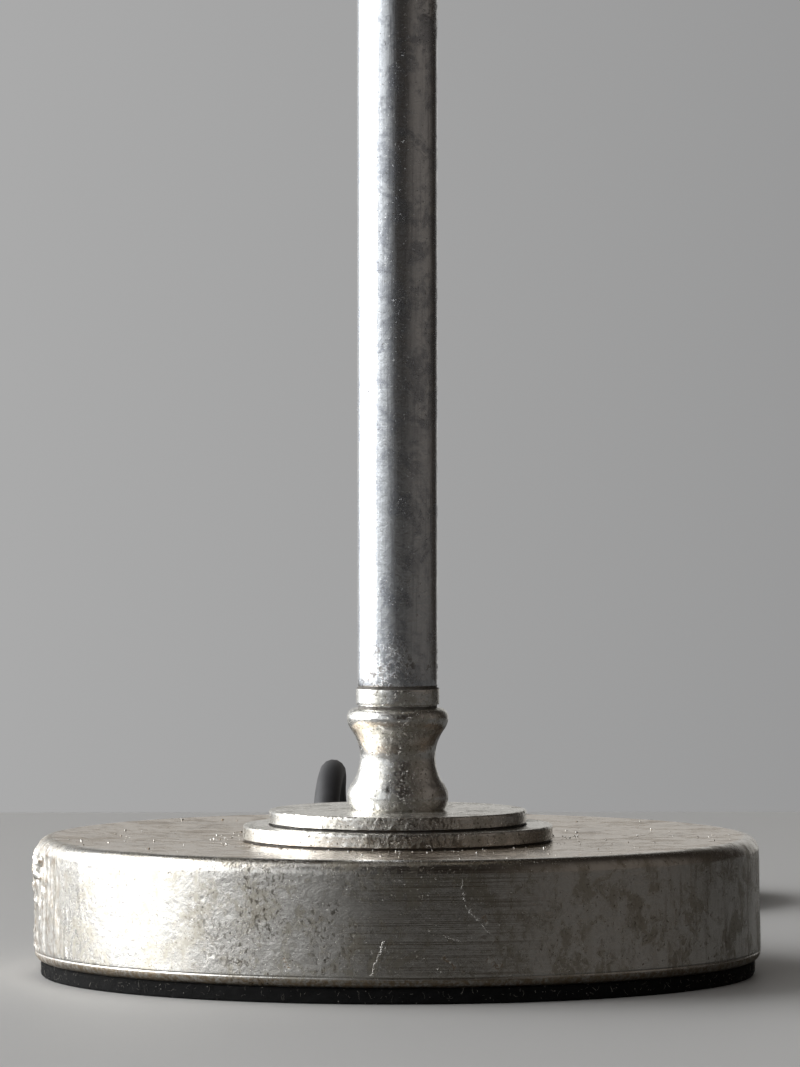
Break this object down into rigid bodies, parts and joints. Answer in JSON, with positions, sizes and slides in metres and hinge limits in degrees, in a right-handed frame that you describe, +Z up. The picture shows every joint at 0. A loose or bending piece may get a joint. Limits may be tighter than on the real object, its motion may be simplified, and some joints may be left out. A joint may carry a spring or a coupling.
{
  "type": "candlestick lamp",
  "caption": "Candlestick table lamp: weighted drum base on a felt pad, stepped discs, turned neck, slim round pole, drip cup, lampholder and tapered shade.",
  "frame": {"origin": "centre of the underside of the base pad", "axes": "+Z up along the pole, -Y the front, +X to the right seen from the front; the lead leaves at the back"},
  "size_m": [0.2815, 0.4304, 0.6305],
  "materials": {
    "felt": "needled felt, dull black",
    "aged_silver": "silver leaf over turned metal, burnished, mottled and worn brown at the edges",
    "iron": "sand cast, bare",
    "zinc": "zinc plated",
    "barrel_black": "moulded, black, satin gloss",
    "porcelain": "unglazed technical porcelain",
    "brass": "bare brass",
    "bulb_metal": "rolled aluminium",
    "opal": "opal, satin",
    "linen": "laminated linen, plain weave",
    "linen_tape": "folded linen tape",
    "white_wire": "white powder coat",
    "lead_sheath": "round mains flex, matt charcoal sheath",
    "core_brown": "core insulation",
    "plug_black": "moulded, black, satin",
    "pin_nickel": "nickel plated brass"
  },
  "bodies": {
    "lamp": {"base_pad": "felt", "base_cover": "aged_silver", "base_weight": "iron", "threaded_tube": "zinc", "clamp_washer": "zinc", "clamp_nut": "zinc", "lower_disc": "aged_silver", "upper_disc": "aged_silver", "lower_neck": "aged_silver", "lower_ferrule": "aged_silver", "pole": "aged_silver", "upper_ferrule": "aged_silver", "upper_neck": "aged_silver", "drip_cup": "aged_silver", "candle_sleeve": "aged_silver", "lampholder_cap": "aged_silver", "top_nut": "zinc", "lampholder_body": "barrel_black", "insulator": "porcelain", "screw_shell": "brass", "centre_contact": "brass", "terminals": "brass", "lead_outlet": "plug_black", "outlet_nut": "plug_black", "inner_lead": "lead_sheath", "lead_cores": "core_brown", "lead_free": "lead_sheath", "lead_coil": "lead_sheath", "lead_tail": "lead_sheath", "plug_body": "plug_black", "plug_pins": "pin_nickel"},
    "shade": {"shade_cover": "linen", "shade_top_ring": "white_wire", "shade_bottom_ring": "white_wire", "shade_plate": "white_wire", "shade_arms": "white_wire", "shade_bottom_tape": "linen_tape", "shade_top_tape": "linen_tape"},
    "clamp": {"shade_clamp": "barrel_black"},
    "bulb": {"bulb_cap": "bulb_metal", "bulb_contact": "brass", "bulb_glass": "opal"},
    "switch": {"switch_spindle": "brass", "switch_knob": "barrel_black"}
  },
  "joints": [
    {"name": "shade_turn", "type": "hinge", "parent": "lamp", "child": "shade", "pos_m": [0, 0, 0.4837], "axis": [0, 0, 1], "continuous": true},
    {"name": "clamp_turn", "type": "hinge", "parent": "lamp", "child": "clamp", "pos_m": [0, 0, 0.4855], "axis": [0, 0, 1], "continuous": true},
    {"name": "bulb_turn", "type": "hinge", "parent": "lamp", "child": "bulb", "pos_m": [0, 0, 0.4784], "axis": [0, 0, 1], "continuous": true},
    {"name": "switch_turn", "type": "hinge", "parent": "lamp", "child": "switch", "pos_m": [0, 0, 0.4703], "axis": [1, 0, 0], "continuous": true}
  ]
}
